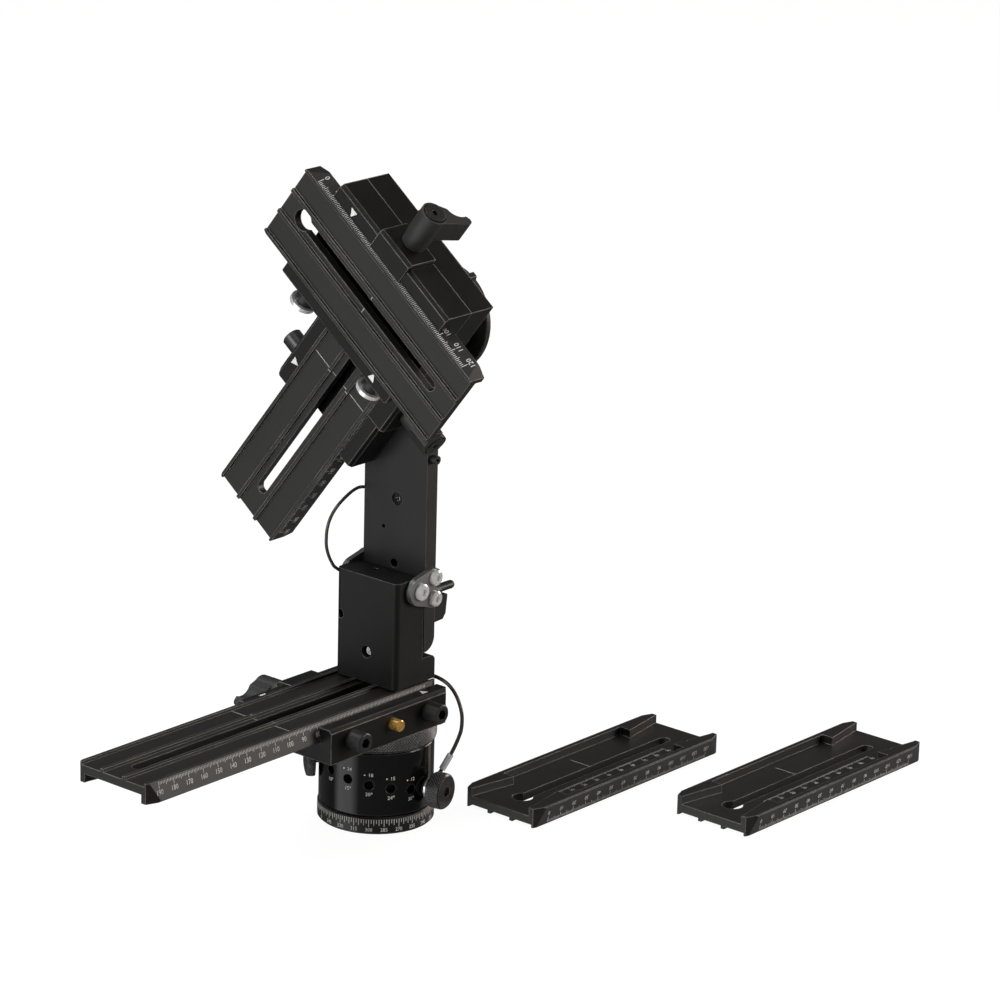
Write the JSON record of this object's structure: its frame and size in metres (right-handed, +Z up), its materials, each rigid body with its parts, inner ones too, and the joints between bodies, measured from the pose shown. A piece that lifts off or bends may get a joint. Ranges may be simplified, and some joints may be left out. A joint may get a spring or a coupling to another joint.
{
  "type": "panoramic tripod head",
  "caption": "Panoramic tripod head: indexed rotating base with a knob, clamped dovetail rails, a folding upright, a tilting upper arm and a slotted camera rail, with spare rails beside it.",
  "frame": {"origin": "centre of the graduated base ring's underside, on the pan axis", "axes": "+Z up along the pan axis, +X along the lower rail towards the upright, +Y towards the side of the clamp levers"},
  "size_m": [0.448, 0.2619, 0.345],
  "materials": {
    "anodised_black": "fine bead-blasted black anodising",
    "gloss_drum": "polished black anodising",
    "knurled_black": "black anodised, diamond knurled",
    "lever_charcoal": "satin charcoal coating over a casting",
    "black_steel": "black oxide steel",
    "bright_steel": "turned and polished steel",
    "cast_silver": "bead-blasted silver casting",
    "brass": "turned brass",
    "bronze": "sintered bronze",
    "cord": "black coated wire"
  },
  "bodies": {
    "base": {"base_ring": "anodised_black", "tripod_bush": "bright_steel", "spindle": "bright_steel", "index_rings": "bright_steel", "lower_washer": "bronze", "upper_washer": "bronze", "spindle_nut": "bright_steel"},
    "rotator": {"index_drum": "gloss_drum", "drum_bush": "bronze", "index_neck": "knurled_black", "top_ring": "knurled_black", "base_clamp": "anodised_black", "base_clamp_screws": "black_steel", "base_bosses": "black_steel", "index_tether": "cord", "tether_sleeve": "bright_steel", "tether_eyelet": "bright_steel", "tether_anchor": "bright_steel"},
    "index_pin_body": {"index_knob": "knurled_black", "index_pin": "bright_steel"},
    "pan_lock": {"pan_lock_knob": "knurled_black"},
    "safety_pin_body": {"safety_pin": "brass"},
    "base_jaw_body": {"base_jaw": "anodised_black"},
    "base_lever_body": {"base_lever": "lever_charcoal", "base_lever_screw": "black_steel"},
    "lower_rail_body": {"lower_rail": "anodised_black", "hinge_block": "anodised_black", "block_screws": "bright_steel", "pivot_screws": "bright_steel", "fold_tether": "cord"},
    "upright_body": {"upright": "anodised_black", "hinge_plates": "cast_silver", "plate_screws": "bright_steel", "upright_screw": "bright_steel", "upright_fasteners": "black_steel", "tilt_housing": "anodised_black", "tilt_bush": "bronze", "latch_rod": "bright_steel"},
    "latch": {"latch_paddle": "black_steel"},
    "tilt_body": {"tilt_clamp": "anodised_black", "tilt_spindle": "bright_steel", "tilt_disc": "anodised_black", "tilt_fasteners": "bright_steel", "tilt_bosses": "black_steel"},
    "tilt_jaw_body": {"tilt_jaw": "anodised_black"},
    "tilt_lever_body": {"tilt_lever": "lever_charcoal", "tilt_lever_screw": "black_steel"},
    "middle_body": {"middle_rail": "anodised_black", "cross_plate": "anodised_black", "cross_clamp": "anodised_black", "cross_clamp_screws": "black_steel", "slot_nut": "bright_steel", "cross_bosses": "black_steel", "boss_rings": "bright_steel"},
    "cross_jaw_body": {"cross_jaw": "anodised_black"},
    "cross_lever_body": {"cross_lever": "lever_charcoal", "cross_lever_screw": "black_steel"},
    "camera_rail_body": {"camera_rail": "anodised_black"},
    "spare_rail_a_body": {"spare_rail_a": "anodised_black"},
    "spare_rail_b_body": {"spare_rail_b": "anodised_black"}
  },
  "joints": [
    {"name": "pan", "type": "hinge", "parent": "base", "child": "rotator", "pos_m": [0, 0, 0.03], "axis": [0, 0, 1], "continuous": true},
    {"name": "index_pin_pull", "type": "slide", "parent": "rotator", "child": "index_pin_body", "axis": [0.1908, -0.9816, 0], "range_m": [0, 0.004]},
    {"name": "pan_lock_turn", "type": "hinge", "parent": "rotator", "child": "pan_lock", "pos_m": [-0.02185, 0.02605, 0.0295], "axis": [-0.6428, 0.766, 0], "range_deg": [0, 270]},
    {"name": "safety_pin_press", "type": "slide", "parent": "rotator", "child": "safety_pin_body", "axis": [0, 1, 0], "range_m": [0, 0.0025], "stiffness_N_per_m": 700, "springref_m": -0.002},
    {"name": "base_jaw_slide", "type": "slide", "parent": "rotator", "child": "base_jaw_body", "axis": [0, 1, 0], "range_m": [0, 0.0007854]},
    {"name": "base_lever_turn", "type": "hinge", "parent": "base_jaw_body", "child": "base_lever_body", "pos_m": [-0.0255, 0.05, 0.0605], "axis": [0, -1, 0], "range_deg": [0, 90]},
    {"name": "lower_rail_slide", "type": "slide", "parent": "rotator", "child": "lower_rail_body", "axis": [1, 0, 0], "range_m": [0, 0.14], "deforming": ["index_tether"]},
    {"name": "fold", "type": "hinge", "parent": "lower_rail_body", "child": "upright_body", "pos_m": [0.0044, 0, 0.125], "axis": [0, -1, 0], "range_deg": [0, 85], "deforming": ["fold_tether"]},
    {"name": "latch_turn", "type": "hinge", "parent": "upright_body", "child": "latch", "pos_m": [0.03, -0.016, 0.1195], "axis": [-1, 0, 0], "range_deg": [0, 60]},
    {"name": "tilt", "type": "hinge", "parent": "upright_body", "child": "tilt_body", "pos_m": [0.03, 0, 0.256], "axis": [1, 0, 0], "range_deg": [-3, 288]},
    {"name": "tilt_jaw_slide", "type": "slide", "parent": "tilt_body", "child": "tilt_jaw_body", "axis": [0, -0.788, -0.6157], "range_m": [0, 0.0007854]},
    {"name": "tilt_lever_turn", "type": "hinge", "parent": "tilt_jaw_body", "child": "tilt_lever_body", "pos_m": [0.0038, -0.02604, 0.20812], "axis": [0, -0.788, -0.6157], "range_deg": [0, 90]},
    {"name": "middle_rail_slide", "type": "slide", "parent": "tilt_body", "child": "middle_body", "axis": [0, -0.6157, 0.788], "range_m": [-0.015, 0.045]},
    {"name": "cross_jaw_slide", "type": "slide", "parent": "middle_body", "child": "cross_jaw_body", "axis": [0, -0.6157, 0.788], "range_m": [0, 0.0007854]},
    {"name": "cross_lever_turn", "type": "hinge", "parent": "cross_jaw_body", "child": "cross_lever_body", "pos_m": [-0.0323, -0.05602, 0.32771], "axis": [0, -0.6157, 0.788], "range_deg": [0, 90]},
    {"name": "camera_rail_slide", "type": "slide", "parent": "middle_body", "child": "camera_rail_body", "axis": [0, -0.788, -0.6157], "range_m": [-0.03, 0.019]},
    {"name": "spare_rail_a_lift", "type": "slide", "parent": "base", "child": "spare_rail_a_body", "axis": [0, 0, 1], "range_m": [0, 0.03]},
    {"name": "spare_rail_b_lift", "type": "slide", "parent": "base", "child": "spare_rail_b_body", "axis": [0, 0, 1], "range_m": [0, 0.03]}
  ],
  "couplings": [
    {"joint": "base_lever_turn", "follows": "base_jaw_slide", "rad_per_m": 2000},
    {"joint": "tilt_lever_turn", "follows": "tilt_jaw_slide", "rad_per_m": 2000},
    {"joint": "cross_lever_turn", "follows": "cross_jaw_slide", "rad_per_m": 2000}
  ]
}
